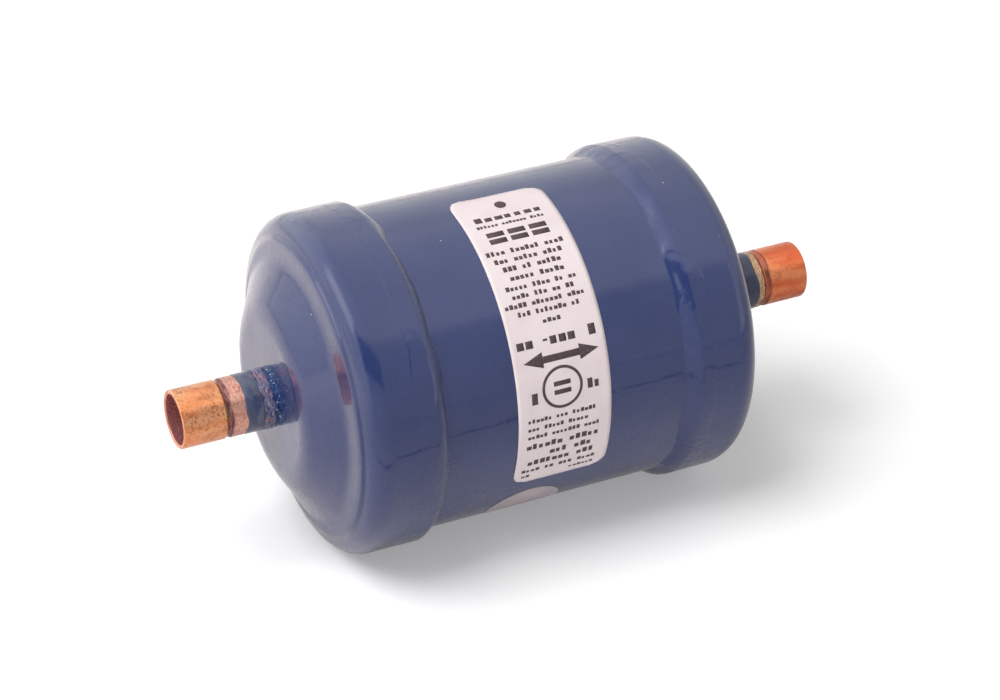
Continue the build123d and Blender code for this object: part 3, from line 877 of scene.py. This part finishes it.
def floor():
    """Large pale floor. What the camera sees of it is lifted to white, and the shadow stays.

    Reflections see it darker ahead of the part than behind it, to match the photographed paint.
    """
    signs = ((-1, -1), (1, -1), (1, 1), (-1, 1))
    piece = flat("floor", [(sx * FLOOR_HALF, sy * FLOOR_HALF, FLOOR_Z) for sx, sy in signs])
    shade = Shader("floor")
    shade.tree.nodes.remove(shade.surface)
    paths = shade.tree.nodes.new("ShaderNodeLightPath")
    towards_back = shade.tree.nodes.new("ShaderNodeVectorMath")
    towards_back.operation = "DOT_PRODUCT"
    towards_back.inputs[1].default_value = FLOOR_BACKWARDS
    shade.link(shade.place, towards_back.inputs[0])
    mirrored = shade.mix(shade.step(towards_back.outputs["Value"], *FLOOR_TURN), *FLOOR_MIRRORED)
    matt = shade.tree.nodes.new("ShaderNodeBsdfDiffuse")
    shade.link(shade.mix(paths.outputs["Is Glossy Ray"], FLOOR_SHADE, mirrored), matt.inputs["Color"])

    away = shade.tree.nodes.new("ShaderNodeVectorMath")
    away.operation = "LENGTH"
    shade.link(shade.place, away.inputs[0])
    lift = shade.step(away.outputs["Value"], *FLOOR_FAR, *FLOOR_LIFT)
    seen = shade.math("MULTIPLY", paths.outputs["Is Camera Ray"], lift)
    glow = shade.math("MULTIPLY", paths.outputs["Is Glossy Ray"], FLOOR_GLOW)
    light = shade.tree.nodes.new("ShaderNodeEmission")
    light.inputs["Color"].default_value = (*WHITE, 1)
    shade.link(shade.math("ADD", seen, glow), light.inputs["Strength"])
    both = shade.tree.nodes.new("ShaderNodeAddShader")
    shade.link(matt.outputs[0], both.inputs[0])
    shade.link(light.outputs[0], both.inputs[1])
    shade.link(both.outputs[0], shade.output)
    piece.data.materials.append(shade.material)


def softbox(name, place, size, watts):
    """A rectangular lamp aimed at the part, which reflections do not show."""
    lamp = bpy.data.lights.new(name, "AREA")
    lamp.shape = "RECTANGLE"
    lamp.size, lamp.size_y = size
    lamp.energy = watts
    holder = bpy.data.objects.new(name, lamp)
    bpy.context.scene.collection.objects.link(holder)
    holder.location = place
    holder.rotation_euler = (-Vector(place)).to_track_quat("-Z", "Y").to_euler()
    holder.visible_glossy = False


def card(name, azimuth, elevation, distance, half_angles, strength, soft):
    """A soft-edged card that only reflections show, facing the part from an azimuth and elevation.

    Its half angles are given across and upwards; soft holds the widths, in metres, over which it fades
    at its sides, at its lower edge and at its upper edge.
    """
    half_width, half_height = (distance * math.tan(math.radians(angle)) for angle in half_angles)
    right, up, back = facing(math.radians(azimuth), math.radians(elevation))
    signs = ((-1, -1), (1, -1), (1, 1), (-1, 1))
    piece = flat(name, [(sx * half_width, sy * half_height, 0) for sx, sy in signs])
    turn = Matrix((right, up, back)).transposed().to_4x4()
    piece.matrix_world = Matrix.Translation(back * distance) @ turn
    shade = Shader(name)
    shade.tree.nodes.remove(shade.surface)
    parts = shade.tree.nodes.new("ShaderNodeSeparateXYZ")
    shade.link(shade.place, parts.inputs[0])
    sides, low, high = soft
    across = shade.math("ABSOLUTE", parts.outputs["X"])
    inside = shade.step(across, half_width - sides, half_width, 1.0, 0.0)
    above = shade.step(parts.outputs["Y"], -half_height, low - half_height)
    below = shade.step(parts.outputs["Y"], half_height - high, half_height, 1.0, 0.0)
    cover = shade.math("MULTIPLY", inside, shade.math("MULTIPLY", above, below))
    blend = shade.tree.nodes.new("ShaderNodeMixShader")
    clear = shade.tree.nodes.new("ShaderNodeBsdfTransparent")
    shade.link(cover, blend.inputs[0])
    shade.link(clear.outputs[0], blend.inputs[1])
    shade.link(emission(shade.tree, WHITE, strength), blend.inputs[2])
    shade.link(blend.outputs[0], shade.output)
    piece.data.materials.append(shade.material)
    only_reflected(piece)


def seam():
    """A dark strip ahead of the part that only reflections show, for the thin line in the paint.

    What the photographed paint reflects there is not known.
    """
    start = Vector((*SEAM_START, FLOOR_Z + SEAM_RISE))
    end = Vector((*SEAM_END, FLOOR_Z + SEAM_RISE))
    aside = (end - start).cross(Vector((0, 0, 1))).normalized()
    piece = flat("seam", (start - SEAM_HALF_START * aside, end - SEAM_HALF_END * aside,
                          end + SEAM_HALF_END * aside, start + SEAM_HALF_START * aside))
    shade = Shader("seam")
    shade.tree.nodes.remove(shade.surface)
    shade.link(emission(shade.tree, BLACK, 0.0), shade.output)
    piece.data.materials.append(shade.material)
    only_reflected(piece)


def camera():
    """The photograph's camera, aimed a little beside the part's centre."""
    right, up, back = facing(AZIMUTH, ELEVATION)
    data = bpy.data.cameras.new("camera")
    data.lens = LENS
    data.sensor_width = SENSOR
    data.sensor_fit = "HORIZONTAL"
    data.clip_start = CLIP_START
    holder = bpy.data.objects.new("camera", data)
    bpy.context.scene.collection.objects.link(holder)
    place = back * DISTANCE + right * AIM_RIGHT + up * AIM_UP
    holder.matrix_world = Matrix.Translation(place) @ Matrix((right, up, back)).transposed().to_4x4()
    bpy.context.scene.camera = holder


# ================================================================ the whole scene
dress_cad_nodes()
for side, sign in (("left", -1), ("right", 1)):
    girth_weld(side, sign)
    braze_ring(side, sign)
    neck_paint(side, sign)
paper_label()
label_print()

camera()
backdrop()
floor()
for lamp in LAMPS:
    softbox(*lamp)
for settings in CARDS:
    card(*settings)
seam()

bpy.context.scene.view_settings.view_transform = "Standard"
